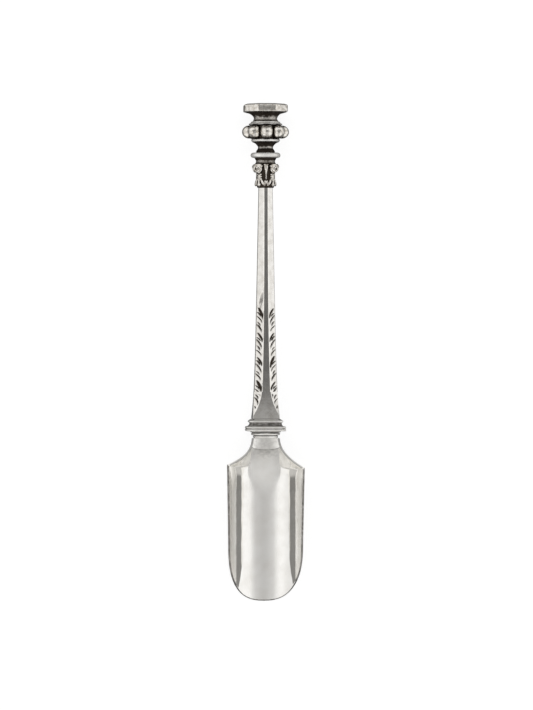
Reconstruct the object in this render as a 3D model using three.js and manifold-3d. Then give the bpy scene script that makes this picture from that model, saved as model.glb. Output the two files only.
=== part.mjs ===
// A silver cheese scoop: a trough-shaped blade on a handle built up from turned and cast members.
// Millimetres. The scoop lies on its back: its axis runs along +Y from the blade to the cap,
// X lies across it, and the hollow of the blade opens towards +Z.

import * as THREE from "three";
import { mergeVertices } from "three/addons/utils/BufferGeometryUtils.js";
import Module from "manifold-3d";

const wasm = await Module();
wasm.setup();

// Fits
const seam = 0.1; // solder line between two members that meet face to face
const slip = 0.15; // clearance round the tang and the rod

// Blade
const bladeLength = 68.9; // tip to the underside of the collar
const neckLength = 11.8; // shoulders to the underside of the collar
const shoulderDistance = bladeLength - neckLength; // tip to the shoulders
const shoulderWidth = 32.8; // across the shoulders, the widest place
const roundedEndWidth = 31.6; // where the sides start to round towards the tip
const roundedEndLength = 23.6;
const roundedEndFullness = 2.5; // 2 would be an ellipse, more is squarer
const troughDepth = 12.5; // edges above the belly, at the shoulders
const shoulderLeanLength = 1.3; // the left shoulder lies this much nearer the handle than the right
const sheetThickness = 1.0;
const edgeThickness = 0.8;
const edgeTaperLength = 8; // the tip thins to its edge over this length
const heelLength = 14; // the belly climbs to the neck over this length
const heelTop = 3; // the neck's channel stays level over this length, below the collar
const neckWidth = 11.8; // across the channel at the collar
const shoulderPull = { out: 0.34, up: 0.32 }; // the neck's sweep as it leaves the shoulders
const neckPull = { out: 0.04, up: 0.55 }; // and as it comes up to the collar
const neckBackDepth = 4.0; // axis down to the back of the channel
const neckEdgeHeight = 2.0; // axis up to the edges of the channel

// Neck block and its tang
const neckBlockLength = 4.5; // visible face, collar to seam
const neckBlockCover = 0.93; // how far round the channel's section the block reaches
const neckBlockCrownHeight = 0.4; // rise of its face along the middle
const neckBlockGap = 0.2; // solder between the block and the channel
const neckSeamSagLength = 0.5; // the seam bows towards the tip
const neckEndSlope = 0.75; // the block's end runs this far towards the tip for each unit of its depth
const tangWidth = 5;
const tangDepth = 3.2;
const tangReachLength = 12; // into the stem

// Collar
const collarRingHeight = 2.3;
const upperReedDiameter = 12.2; // diameter of the upper reed
const lowerReedDiameter = 10.6; // diameter of the lower reed
const collarHeight = 5.6;
const collarWidth = 16.6; // across the two reeds
const collarTopWidth = 14.2; // across the fillet above the hollow
const collarHollowWidth = 13.4;
const collarFootWidth = 12.2;
const collarReedHeight = 1.15;
const collarCutWidth = 1.5; // cut corners of its square plan
const collarFootHeight = 0.7;
const collarFilletHeight = 0.5;
const collarSlopeHeight = 0.6; // from the fillet in to the stem
const collarLedgeWidth = 0.3; // the slope ends this far outside the stem

// Stem
const stemLength = 97.1;
const stemTopWidth = 5.9;
const stemTaperWidth = 3.8; // even widening from top to base
const stemFlareWidth = 1.7; // further widening close to the base
const stemFlareSharpness = 8;
const flatTopWidth = 1.5; // narrow flat between two chamfers, at the top
const flatLowWidth = 3.4; // the same flat where the chamfers run out
const flatSharpness = 6;
const chamferStop = 0.883; // share of the length where the chamfers start to run out
const squareStart = 0.987; // share of the length where the stem is square
const stopSharpness = 1.5;
const stemArrisWidth = 0.12; // the square's corners are just broken
const carvingTop = 0.53; // share of the length where the carved leaves start
const carvingEnd = 0.935; // and where they end
const carvedLeaves = 17; // on each chamfer
const leafLength = 3.6;
const leafWidth = 2.2;
const leafDepth = 0.9;
const leafSweep = 0.42; // radians that a leaf leans out from the flat

// Capital
const capitalHeight = 9.8;
const capitalFootRadius = 3.5;
const capitalBulgeRadius = 4.2;
const capitalWaistRadius = 3.5;
const capitalLipRadius = 4.2;
const capitalLipInset = 0.5;
const scrollMiddleRadius = 4.4; // axis to the middle of a corner scroll
const scrollWidth = 4.5;
const scrollHeight = 4.3;
const scrollTopHeight = 9.9; // foot of the capital to the scroll's crown
const scrollBulgeDepth = 4.3; // its size away from the axis
const scrollFullness = 2.3; // 2 would be an ellipsoid, more is squarer
const eyeRadius = 0.5; // hollow eyes, one towards each of the two faces
const eyeDepth = 0.9;
const eyeOffsetLength = 0.5; // outwards from the middle of the scroll
const stalkWidth = 2.6; // leaf that climbs the corner to the scroll
const stalkLength = 6;
const stalkThickness = 2;
const curlDiameter = 1.3; // small curls under the scrolls
const curlSpreadWidth = 2.2; // middle of the face to a curl
const dartWidth = 3.4;
const dartLength = 6;
const dartBulgeDepth = 1.1; // how far it stands out of the bell
const budWidth = 2.7;
const budThickness = 1.8;
const tuskLength = 4.4;
const tuskWidth = 1.1;
const tuskSpreadWidth = 1.95; // middle of the face to a tusk
const tuskLean = 0.12; // radians
const cornerLeafLength = 3.8;
const cornerLeafWidth = 2.3;
const cornerLeafThickness = 1.4;

// Finial
const capitalSpoolHeight = 2.6;
const capitalSpoolFootRadius = 4.5;
const capitalSpoolWaistRadius = 4.0;
const capitalSpoolTopRadius = 4.65;
const discHeight = 2.1;
const discRadius = 6.3;
const knopSpoolHeight = 4.4;
const knopSpoolFootRadius = 3.8;
const knopSpoolBeadRadius = 4.0;
const knopSpoolWaistRadius = 3.15;
const knopSpoolTopRadius = 5.6;
const lowerRingHeight = 1.3;
const lowerRingRadius = 6.05;
const knopHeight = 5.5;
const knopRadius = 9.9; // axis to the crown of a lobe
const knopCoreRadius = 5.7;
const lobeCount = 8;
const lobeWidth = 4.7;
const lobeBulgeDepth = 3.0; // half of the lobe's radial size
const lobeFullness = 3.4; // 2 would be an ellipsoid, more is squarer
const upperRingHeight = 1.5;
const upperRingTopRadius = 5.8;
const upperRingBaseRadius = 7.1;
const upperRingInset = 0.4;
const capSpoolHeight = 3.8;
const capSpoolWaistRadius = 4.85;
const capSpoolFootRadius = 5.3;
const capHeight = 3.9;
const capFlatsWidth = 18.5; // across opposite flats
const capSides = 8;
const capBevelWidth = 0.5;
const capLedgeWidth = 1; // the cap stands out over its spool
const capDomeWidth = 1.4; // width of the low slope round the flat top
const capDomeHeight = 0.25;
const rodDiameter = 2.6;
const rodReachLength = 10; // into the stem
const rodCapReachLength = 2.2; // into the cap

// Facets
const turnedSides = 28;
const acrossSteps = 15; // round the trough's section, odd so that it lies on a flat
const facetSlack = 0.06; // cut and joined forms lose facets that move them less than this

// Places along the axis, from the tip
const collarRingBase = bladeLength + seam;
const collarBase = collarRingBase + collarRingHeight + seam;
const stemBase = collarBase + collarHeight + seam;
const capitalBase = stemBase + stemLength + seam;
const capitalSpoolBase = capitalBase + capitalHeight + seam;
const discBase = capitalSpoolBase + capitalSpoolHeight + seam;
const knopSpoolBase = discBase + discHeight + seam;
const lowerRingBase = knopSpoolBase + knopSpoolHeight + seam;
const knopBase = lowerRingBase + lowerRingHeight + seam;
const upperRingBase = knopBase + knopHeight + seam;
const capSpoolBase = upperRingBase + upperRingHeight + seam;
const capBase = capSpoolBase + capSpoolHeight + seam;
const overallLength = capBase + capHeight;

// The knop and the blade's belly both touch the table
const axisHeight = knopRadius;
const boreRadius = rodDiameter / 2 + slip;

// Solids

function solidOf(geometry) {
  const bare = geometry.clone();
  bare.deleteAttribute("normal");
  bare.deleteAttribute("uv");
  const merged = mergeVertices(bare);
  const vertProperties = Float32Array.from(merged.attributes.position.array);
  const triVerts = Uint32Array.from(merged.index.array);
  return new wasm.Manifold(new wasm.Mesh({ numProp: 3, vertProperties, triVerts }));
}

function geometryOf(solid) {
  const mesh = solid.getMesh();
  const geometry = new THREE.BufferGeometry();
  geometry.setAttribute("position", new THREE.BufferAttribute(mesh.vertProperties, 3));
  geometry.setIndex(new THREE.BufferAttribute(mesh.triVerts, 1));
  return geometry;
}

// A skin over rings of points that run clockwise seen from the side that the rings climb to.
// Each end is closed by zipping the first half of its ring to the second half.
function loft(rings) {
  const count = rings[0].length;
  const triangles = [];
  rings.slice(1).forEach((ring, index) => {
    const low = index * count;
    for (let i = 0; i < count; i += 1) {
      const next = (i + 1) % count;
      triangles.push(low + i, low + count + i, low + next);
      triangles.push(low + next, low + count + i, low + count + next);
    }
  });
  const last = (rings.length - 1) * count;
  for (let i = 0; i + 1 < count / 2; i += 1) {
    const far = count - 1 - i;
    triangles.push(i, i + 1, far, i + 1, far - 1, far);
    triangles.push(last + i, last + far, last + i + 1, last + i + 1, last + far, last + far - 1);
  }
  const geometry = new THREE.BufferGeometry();
  const positions = rings.flat().flatMap((point) => point.toArray());
  geometry.setAttribute("position", new THREE.Float32BufferAttribute(positions, 3));
  geometry.setIndex(triangles);
  return geometry;
}

// A turned member with a bore for the rod: the outline climbs from its foot to its top
function turned(outline) {
  const foot = new THREE.Vector2(boreRadius, outline[0].y);
  const top = new THREE.Vector2(boreRadius, outline.at(-1).y);
  return new THREE.LatheGeometry([foot, ...outline, top, foot], turnedSides);
}

function smoothOutline(points, steps) {
  return new THREE.SplineCurve(points.map(([radius, y]) => new THREE.Vector2(radius, y))).getPoints(steps);
}

// Half-round edge from one height to another, standing out to a radius
function roundEdge(radius, low, high, steps) {
  const bulge = (high - low) / 2;
  return Array.from({ length: steps + 1 }, (_, step) => {
    const angle = -Math.PI / 2 + (Math.PI * step) / steps;
    const reach = radius - bulge + bulge * Math.cos(angle);
    return new THREE.Vector2(reach, low + bulge + bulge * Math.sin(angle));
  });
}

function boreAlong(low, high) {
  const bore = new THREE.CylinderGeometry(boreRadius, boreRadius, high - low, turnedSides / 2);
  return solidOf(bore.translate(0, (low + high) / 2, 0));
}

function tangSlot(low, high) {
  const slot = new THREE.BoxGeometry(tangWidth + 2 * slip, high - low, tangDepth + 2 * slip);
  return solidOf(slot.translate(0, (low + high) / 2, 0));
}

function mix(from, to, share) {
  return from + (to - from) * share;
}

function easeInOut(share) {
  const held = THREE.MathUtils.clamp(share, 0, 1);
  return held * held * (3 - 2 * held);
}

// Blade: a sheet whose section is an arc at every place along it

const shoulderHalf = shoulderWidth / 2;
const troughRadius = (shoulderHalf ** 2 + troughDepth ** 2) / (2 * troughDepth);

function sweepPoint({ out, up }) {
  const halfWidth = mix(neckWidth / 2, shoulderHalf, out);
  return new THREE.Vector2(halfWidth, mix(shoulderDistance, bladeLength, up));
}

const neckSweep = new THREE.CubicBezierCurve(
  new THREE.Vector2(shoulderHalf, shoulderDistance),
  sweepPoint(shoulderPull),
  sweepPoint(neckPull),
  new THREE.Vector2(neckWidth / 2, bladeLength),
);

// Half-width in the rounded end and along the nearly straight sides
function sideHalfWidth(y) {
  const end = roundedEndWidth / 2;
  if (y >= roundedEndLength) {
    return mix(end, shoulderHalf, (y - roundedEndLength) / (shoulderDistance - roundedEndLength));
  }
  const inset = 1 - y / roundedEndLength;
  return end * (1 - inset ** roundedEndFullness) ** (1 / roundedEndFullness);
}

function backHeight(y) {
  const climb = (y - (bladeLength - heelTop - heelLength)) / heelLength;
  return mix(-axisHeight, -neckBackDepth, easeInOut(climb));
}

// The edges follow the trough's radius along the blade and run level along the neck
function edgeHeight(y, halfWidth) {
  if (y <= shoulderDistance) {
    return troughRadius - Math.sqrt(troughRadius ** 2 - halfWidth ** 2) - axisHeight;
  }
  const along = (y - shoulderDistance) / (bladeLength - shoulderDistance);
  return mix(troughDepth - axisHeight, neckEdgeHeight, along);
}

function leanShare(y) {
  if (y <= shoulderDistance) {
    return (y / shoulderDistance) ** 2;
  }
  return 1 - easeInOut((y - shoulderDistance) / (bladeLength - neckBlockLength - shoulderDistance));
}

function troughSection(y, halfWidth) {
  const back = backHeight(y);
  const rise = edgeHeight(y, halfWidth) - back;
  const radius = (halfWidth ** 2 + rise ** 2) / (2 * rise);
  return { y, back, radius, halfAngle: Math.atan2(halfWidth, radius - rise) };
}

function thicknessAt(y, across) {
  const body = Math.min(1, y / edgeTaperLength) * (1 - Math.abs(across) ** 4);
  return mix(edgeThickness, sheetThickness, body);
}

// A point of a section: across runs from -1 at the left edge to 1, depth goes in from the outside
function sectionPoint(section, across, depth) {
  const angle = across * section.halfAngle;
  const reach = section.radius - depth;
  const x = reach * Math.sin(angle);
  const lean = (-x / shoulderWidth) * shoulderLeanLength * leanShare(section.y);
  return new THREE.Vector3(x, section.y + lean, section.back + section.radius - reach * Math.cos(angle));
}

// Sections of the tip crowd towards it, so that the round end stays round
function bladeSections() {
  const tipStart = 0.03; // radians round the end where the tip's own edge lies
  const tipSteps = 11;
  const sideSteps = 4;
  const neckSteps = 11;
  const sections = [];
  for (let step = 0; step < tipSteps; step += 1) {
    const angle = mix(tipStart, Math.PI / 2, step / tipSteps);
    const y = roundedEndLength * (1 - Math.cos(angle) ** (2 / roundedEndFullness));
    sections.push(troughSection(y, sideHalfWidth(y)));
  }
  for (let step = 0; step < sideSteps; step += 1) {
    const y = mix(roundedEndLength, shoulderDistance, step / sideSteps);
    sections.push(troughSection(y, sideHalfWidth(y)));
  }
  for (let step = 0; step <= neckSteps; step += 1) {
    const place = neckSweep.getPoint(step / neckSteps);
    sections.push(troughSection(place.y, place.x));
  }
  return sections;
}

const acrossPlaces = Array.from({ length: acrossSteps + 1 }, (_, step) => (2 * step) / acrossSteps - 1);

function bladeGeometry() {
  const rings = bladeSections().map((section) => {
    const outside = acrossPlaces.map((across) => sectionPoint(section, across, 0));
    const inside = acrossPlaces.map((across) => {
      return sectionPoint(section, across, thicknessAt(section.y, across));
    });
    return [...outside, ...inside.reverse()];
  });
  return loft(rings);
}

// Neck block: fills the channel below the collar, with a tang that runs up into the stem

function neckSectionAt(y) {
  let low = 0;
  let high = 1;
  for (let step = 0; step < 40; step += 1) {
    const middle = (low + high) / 2;
    if (neckSweep.getPoint(middle).y < y) {
      low = middle;
    } else {
      high = middle;
    }
  }
  return troughSection(y, neckSweep.getPoint(high).x);
}

function seatPoint(y, across) {
  return sectionPoint(neckSectionAt(y), across, thicknessAt(y, across) + neckBlockGap);
}

// Where the sloping end of the block meets its seat
function blockEnd(share) {
  const start = bladeLength - neckBlockLength - neckSeamSagLength * (1 - share ** 2);
  const crest = seatPoint(bladeLength - neckBlockLength, neckBlockCover).z;
  let y = start;
  for (let step = 0; step < 30; step += 1) {
    y = start - neckEndSlope * (crest - seatPoint(y, share * neckBlockCover).z);
  }
  return y;
}

const blockEnds = acrossPlaces.map(blockEnd);

function neckBlockRing(climb) {
  const seat = acrossPlaces.map((share, index) => {
    return seatPoint(mix(blockEnds[index], bladeLength, climb), share * neckBlockCover);
  });
  const corner = seat.at(-1);
  const face = acrossPlaces.map((share) => {
    const middle = 1 - share ** 2;
    const y = corner.y - neckSeamSagLength * middle * (1 - climb);
    return new THREE.Vector3(-share * corner.x, y, corner.z + neckBlockCrownHeight * middle);
  });
  return [...seat, ...face];
}

function neckBlockGeometry() {
  const steps = 8;
  const rings = Array.from({ length: steps + 1 }, (_, step) => neckBlockRing(step / steps));
  const tangFoot = bladeLength - neckBlockLength / 2;
  const tangTop = stemBase + tangReachLength;
  const tang = new THREE.BoxGeometry(tangWidth, tangTop - tangFoot, tangDepth);
  tang.translate(0, (tangFoot + tangTop) / 2, 0);
  return geometryOf(solidOf(loft(rings)).add(solidOf(tang)));
}

// Collar: a round ring of two reeds, and above it a square moulding with cut corners

function collarRingGeometry() {
  const split = collarRingHeight / 2;
  const reeds = [
    ...roundEdge(lowerReedDiameter / 2, 0, split, 4),
    ...roundEdge(upperReedDiameter / 2, split, collarRingHeight, 4).slice(1),
  ];
  const foot = new THREE.Vector2(0, 0);
  const top = new THREE.Vector2(0, collarRingHeight);
  const body = solidOf(new THREE.LatheGeometry([foot, ...reeds, top], turnedSides));
  return geometryOf(body.subtract(tangSlot(-seam, collarRingHeight + seam)));
}

// The eight corners of a square with cut corners, clockwise seen from above
function cutSquare(half, cut, y) {
  const flat = half - cut;
  const quarter = [new THREE.Vector3(-flat, y, half), new THREE.Vector3(-half, y, flat)];
  return [0, 1, 2, 3].flatMap((turn) => {
    return quarter.map((corner) => corner.clone().applyEuler(new THREE.Euler(0, (-turn * Math.PI) / 2, 0)));
  });
}

function collarGeometry() {
  const footTop = collarFootHeight;
  const reedTop = footTop + 2 * collarReedHeight;
  const filletTop = collarHeight - collarSlopeHeight;
  const filletBase = filletTop - collarFilletHeight;
  const outline = [
    new THREE.Vector2(collarFootWidth / 2, 0),
    new THREE.Vector2(collarFootWidth / 2, footTop),
    ...roundEdge(collarWidth / 2, footTop, footTop + collarReedHeight, 6),
    ...roundEdge(collarWidth / 2, footTop + collarReedHeight, reedTop, 6).slice(1),
    new THREE.Vector2(collarHollowWidth / 2, mix(reedTop, filletBase, 0.5)),
    new THREE.Vector2(collarTopWidth / 2, filletBase),
    new THREE.Vector2(collarTopWidth / 2, filletTop),
    new THREE.Vector2(stemHalf(1) + collarLedgeWidth, collarHeight),
  ];
  const rings = outline.map((point) => cutSquare(point.x, collarCutWidth, point.y));
  return geometryOf(solidOf(loft(rings)).subtract(tangSlot(-seam, collarHeight + seam)));
}

// Stem: square at its base, chamfered to a narrow octagon above, with carved chamfers

// Half of the width across the flats, from 0 at the top to 1 at the base
function stemHalf(share) {
  return (stemTopWidth + stemTaperWidth * share + stemFlareWidth * share ** stemFlareSharpness) / 2;
}

function flatHalf(share) {
  if (share <= chamferStop) {
    return mix(flatTopWidth, flatLowWidth, (share / chamferStop) ** flatSharpness) / 2;
  }
  const runOut = Math.min(1, (share - chamferStop) / (squareStart - chamferStop));
  return mix(flatLowWidth / 2, stemHalf(share) - stemArrisWidth, runOut ** stopSharpness);
}

function stemRing(share) {
  const half = stemHalf(share);
  return cutSquare(half, half - flatHalf(share), stemLength * (1 - share));
}

// One leaf-shaped gouge on the front right chamfer, leaning to the right for side 1
function leafCutter(share, side) {
  const middle = (stemHalf(share) + flatHalf(share)) / 2;
  const cutter = new THREE.OctahedronGeometry(1);
  cutter.scale(leafWidth / 2, leafLength / 2, leafDepth / 2);
  cutter.rotateZ(-side * leafSweep);
  cutter.rotateY(Math.PI / 4);
  cutter.translate(middle, stemLength * (1 - share), middle);
  return cutter;
}

function stemGeometry() {
  const bodyShares = Array.from({ length: 15 }, (_, step) => (chamferStop * step) / 14);
  const stopShares = [0.2, 0.4, 0.6, 0.8, 1].map((share) => mix(chamferStop, squareStart, share));
  const shares = [...bodyShares, ...stopShares, 1].reverse();
  const rodHole = boreAlong(stemLength - rodReachLength - seam, stemLength + seam);
  const cuts = [tangSlot(-seam, tangReachLength + seam), rodHole];
  for (let leaf = 0; leaf < carvedLeaves; leaf += 1) {
    const share = mix(carvingTop, carvingEnd, leaf / (carvedLeaves - 1));
    for (let turn = 0; turn < 4; turn += 1) {
      const side = turn % 2 === 0 ? 1 : -1;
      cuts.push(solidOf(leafCutter(share, side).rotateY((turn * Math.PI) / 2)));
    }
  }
  const body = solidOf(loft(shares.map(stemRing)));
  return geometryOf(body.subtract(wasm.Manifold.union(cuts)).simplify(facetSlack / 4));
}

// Capital: a bell with scrolls on leaf stalks at its corners, and on each face
// a dart between the scrolls, two small curls, and a bud between two tusks

function capitalBell() {
  const outline = smoothOutline(
    [
      [capitalFootRadius, 0],
      [capitalBulgeRadius, capitalHeight * 0.16],
      [mix(capitalWaistRadius, capitalBulgeRadius, 0.4), capitalHeight * 0.36],
      [capitalWaistRadius, capitalHeight * 0.6],
      [capitalLipRadius, capitalHeight * 0.88],
      [capitalLipRadius - capitalLipInset, capitalHeight],
    ],
    8,
  );
  return solidOf(turned(outline));
}

// A ball with half-sizes of 1 whose outline, seen along Z, is squared off towards a cushion
function cushion(fullness) {
  const ball = new THREE.SphereGeometry(1, 12, 8);
  const place = ball.attributes.position;
  const point = new THREE.Vector3();
  for (let index = 0; index < place.count; index += 1) {
    point.fromBufferAttribute(place, index);
    const outline = (Math.abs(point.x) ** fullness + Math.abs(point.y) ** fullness) ** (1 / fullness);
    point.divideScalar(Math.hypot(outline, point.z));
    place.setXYZ(index, point.x, point.y, point.z);
  }
  return ball;
}

function leafBlob(width, length, thickness) {
  return new THREE.SphereGeometry(0.5, 8, 5).scale(width, length, thickness);
}

// A solid scroll facing the front, with an eye sunk to the left and to the right of its crown
function scrollSolid() {
  const body = cushion(scrollFullness).scale(scrollWidth / 2, scrollHeight / 2, scrollBulgeDepth / 2);
  body.translate(0, scrollTopHeight - scrollHeight / 2, scrollMiddleRadius);
  const eyeHeight = scrollTopHeight - scrollHeight / 2;
  const eyeReach = scrollMiddleRadius + eyeOffsetLength;
  const eyes = [-1, 1].map((side) => {
    const eye = new THREE.CylinderGeometry(eyeRadius, eyeRadius, eyeDepth * 2, 8).rotateX(Math.PI / 2);
    eye.translate(0, 0, scrollBulgeDepth / 2).rotateY((side * Math.PI) / 4);
    return solidOf(eye.translate(0, eyeHeight, eyeReach));
  });
  return solidOf(body).subtract(wasm.Manifold.union(eyes));
}

function onCorner(form) {
  return form.rotateY(-Math.PI / 4);
}

// The leaves of one face and of the corner on its left
function faceForms() {
  const dart = new THREE.ConeGeometry(1, dartLength, 6).rotateX(Math.PI);
  dart.scale(dartWidth / 2, 1, dartBulgeDepth);
  dart.translate(0, capitalHeight * 0.97 - dartLength / 2, capitalWaistRadius);
  const bud = leafBlob(budWidth, budWidth, budThickness);
  bud.translate(0, capitalHeight * 0.16, capitalBulgeRadius);
  const sides = [-1, 1].flatMap((side) => {
    const tusk = leafBlob(tuskWidth, tuskLength, tuskWidth).rotateZ(-side * tuskLean);
    const tuskOut = Math.sqrt(capitalBulgeRadius ** 2 - tuskSpreadWidth ** 2);
    const curl = leafBlob(curlDiameter, curlDiameter, curlDiameter);
    const curlOut = Math.sqrt(capitalBulgeRadius ** 2 - curlSpreadWidth ** 2);
    return [
      tusk.translate(side * tuskSpreadWidth, capitalHeight * 0.27, tuskOut),
      curl.translate(side * curlSpreadWidth, capitalHeight * 0.5, curlOut),
    ];
  });
  const cornerLeaf = leafBlob(cornerLeafWidth, cornerLeafLength, cornerLeafThickness);
  const stalk = leafBlob(stalkWidth, stalkLength, stalkThickness);
  return [
    dart,
    bud,
    ...sides,
    onCorner(cornerLeaf.translate(0, capitalHeight * 0.21, capitalBulgeRadius)),
    onCorner(stalk.translate(0, capitalHeight * 0.5, capitalWaistRadius)),
  ];
}

function capitalGeometry() {
  const ornaments = [];
  for (let face = 0; face < 4; face += 1) {
    const turn = face * 90;
    ornaments.push(...faceForms().map((form) => solidOf(form).rotate([0, turn, 0])));
    ornaments.push(scrollSolid().rotate([0, turn - 45, 0]));
  }
  const dressed = capitalBell().add(wasm.Manifold.union(ornaments));
  const trimmed = dressed.trimByPlane([0, 1, 0], 0).trimByPlane([0, -1, 0], -capitalHeight);
  return geometryOf(trimmed.subtract(boreAlong(-seam, capitalHeight + seam)).simplify(facetSlack));
}

// Finial: turned members threaded on the rod

function capitalSpoolGeometry() {
  const foot = [capitalSpoolFootRadius, 0];
  const waist = [capitalSpoolWaistRadius, capitalSpoolHeight * 0.45];
  const top = [capitalSpoolTopRadius, capitalSpoolHeight];
  return turned(smoothOutline([foot, waist, top], 6));
}

function discGeometry() {
  return turned(roundEdge(discRadius, 0, discHeight, 6));
}

function knopSpoolGeometry() {
  const outline = [
    [knopSpoolFootRadius, 0],
    [knopSpoolBeadRadius, knopSpoolHeight * 0.12],
    [knopSpoolWaistRadius, knopSpoolHeight * 0.5],
    [mix(knopSpoolWaistRadius, knopSpoolTopRadius, 0.45), knopSpoolHeight * 0.84],
    [knopSpoolTopRadius, knopSpoolHeight],
  ];
  return turned(smoothOutline(outline, 8));
}

function lowerRingGeometry() {
  return turned(roundEdge(lowerRingRadius, 0, lowerRingHeight, 4));
}

function upperRingGeometry() {
  const outline = [
    [upperRingBaseRadius - upperRingInset, 0],
    [upperRingBaseRadius, upperRingHeight * 0.3],
    [mix(upperRingTopRadius, upperRingBaseRadius, 0.4), upperRingHeight * 0.75],
    [upperRingTopRadius, upperRingHeight],
  ];
  return turned(smoothOutline(outline, 6));
}

// Swelling lobes in a ring round a turned core, one of them facing the front
function knopGeometry() {
  const coreSide = [0, knopHeight].map((y) => new THREE.Vector2(knopCoreRadius, y));
  const core = turned(coreSide);
  const lobes = Array.from({ length: lobeCount }, (_, index) => {
    const lobe = cushion(lobeFullness).scale(lobeWidth / 2, knopHeight / 2, lobeBulgeDepth);
    lobe.translate(0, knopHeight / 2, knopRadius - lobeBulgeDepth);
    return solidOf(lobe.rotateY((index * 2 * Math.PI) / lobeCount));
  });
  const dressed = solidOf(core).add(wasm.Manifold.union(lobes));
  return geometryOf(dressed.subtract(boreAlong(-seam, knopHeight + seam)).simplify(facetSlack));
}

// A ring that is round at squareness 0 and a polygon with a flat towards +Z at squareness 1
function facetedRing(flatRadius, squareness, y) {
  const perSide = 4;
  const count = capSides * perSide;
  return Array.from({ length: count }, (_, index) => {
    const angle = (-2 * Math.PI * (index + perSide / 2)) / count;
    const offFlat = (((index % perSide) - perSide / 2) * 2 * Math.PI) / count;
    const roundRadius = flatRadius / Math.cos(Math.PI / capSides / 2);
    const radius = mix(roundRadius, flatRadius / Math.cos(offFlat), squareness);
    return new THREE.Vector3(radius * Math.sin(angle), y, radius * Math.cos(angle));
  });
}

function capSpoolGeometry() {
  const outline = smoothOutline(
    [
      [capSpoolFootRadius, 0],
      [capSpoolWaistRadius, capSpoolHeight * 0.36],
      [mix(capSpoolWaistRadius, capFlatsWidth / 2, 0.3), capSpoolHeight * 0.8],
      [capFlatsWidth / 2 - capLedgeWidth, capSpoolHeight],
    ],
    6,
  );
  const rings = outline.map((point) => {
    return facetedRing(point.x, easeInOut(point.y / capSpoolHeight), point.y);
  });
  return geometryOf(solidOf(loft(rings)).subtract(boreAlong(-seam, capSpoolHeight + seam)));
}

function capGeometry() {
  const half = capFlatsWidth / 2;
  const bandTop = capHeight - capDomeHeight;
  const outline = [
    [half - capBevelWidth, 0],
    [half, capBevelWidth],
    [half, bandTop - capBevelWidth / 2],
    [half - capBevelWidth / 2, bandTop],
    [half - capDomeWidth, capHeight],
  ];
  const rings = outline.map(([flatRadius, y]) => facetedRing(flatRadius, 1, y));
  return geometryOf(solidOf(loft(rings)).subtract(boreAlong(-seam, rodCapReachLength + seam)));
}

function rodGeometry() {
  const foot = capitalBase - seam - rodReachLength;
  const top = capBase + rodCapReachLength;
  const rod = new THREE.CylinderGeometry(rodDiameter / 2, rodDiameter / 2, top - foot, turnedSides / 2);
  return rod.translate(0, (foot + top) / 2, 0);
}

// Assembly

const scoop = new THREE.Group();
scoop.position.set(0, -overallLength / 2, axisHeight);

function addPiece(name, geometry, base, color, roughness) {
  const material = new THREE.MeshStandardMaterial({ color, roughness, metalness: 1 });
  const mesh = new THREE.Mesh(geometry, material);
  mesh.name = name;
  mesh.position.y = base;
  scoop.add(mesh);
}

const polished = "#d9d7d3";
const worn = "#c4c1bb";
const oxidised = "#8f8a83";

addPiece("scoop_blade", bladeGeometry(), 0, polished, 0.18);
addPiece("neck_block", neckBlockGeometry(), 0, polished, 0.2);
addPiece("collar_ring", collarRingGeometry(), collarRingBase, worn, 0.25);
addPiece("collar_moulding", collarGeometry(), collarBase, worn, 0.25);
addPiece("stem", stemGeometry(), stemBase, polished, 0.2);
addPiece("leaf_capital", capitalGeometry(), capitalBase, oxidised, 0.35);
addPiece("capital_spool", capitalSpoolGeometry(), capitalSpoolBase, oxidised, 0.35);
addPiece("disc", discGeometry(), discBase, worn, 0.25);
addPiece("knop_spool", knopSpoolGeometry(), knopSpoolBase, worn, 0.3);
addPiece("knop_lower_ring", lowerRingGeometry(), lowerRingBase, worn, 0.3);
addPiece("lobed_knop", knopGeometry(), knopBase, worn, 0.35);
addPiece("knop_upper_ring", upperRingGeometry(), upperRingBase, worn, 0.3);
addPiece("cap_spool", capSpoolGeometry(), capSpoolBase, oxidised, 0.35);
addPiece("octagonal_cap", capGeometry(), capBase, worn, 0.3);
addPiece("finial_rod", rodGeometry(), 0, worn, 0.4);

const whole = new THREE.Group();
whole.add(scoop);

export default whole;
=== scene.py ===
# %% [markdown]
# # A silver cheese scoop
#
# The scoop has a trough-shaped blade on a long handle. The handle is built up from small members:
# a collar, a carved stem, a leaf capital, and a finial of turned rings, a lobed knop and a
# faceted cap. It lies on its back, with its axis along Y and the hollow of the blade facing up.
# Lengths are written in millimetres and turned into metres where a mesh is made.

# %% Load the measured frame
import math

import bmesh
import bpy
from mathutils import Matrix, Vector


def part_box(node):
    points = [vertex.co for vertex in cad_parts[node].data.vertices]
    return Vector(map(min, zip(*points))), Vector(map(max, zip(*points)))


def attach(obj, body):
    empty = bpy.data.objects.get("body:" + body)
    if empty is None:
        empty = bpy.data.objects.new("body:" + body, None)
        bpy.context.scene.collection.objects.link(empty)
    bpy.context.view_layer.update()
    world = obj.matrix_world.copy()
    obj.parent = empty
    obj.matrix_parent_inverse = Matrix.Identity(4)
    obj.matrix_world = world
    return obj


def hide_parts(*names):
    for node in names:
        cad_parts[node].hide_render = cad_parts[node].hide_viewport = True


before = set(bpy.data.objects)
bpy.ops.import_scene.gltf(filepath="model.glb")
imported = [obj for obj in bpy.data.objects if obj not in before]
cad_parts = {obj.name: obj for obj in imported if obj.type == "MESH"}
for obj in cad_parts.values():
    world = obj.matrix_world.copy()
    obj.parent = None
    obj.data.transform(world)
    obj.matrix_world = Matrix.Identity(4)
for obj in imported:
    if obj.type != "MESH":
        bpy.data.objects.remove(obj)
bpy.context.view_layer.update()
MM = 0.001
knop_low, knop_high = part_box("lobed_knop")
AXIS = (knop_low[2] + knop_high[2]) / 2 / MM
print("axis height in mm:", round(AXIS, 2), "nodes:", len(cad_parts))


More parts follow.
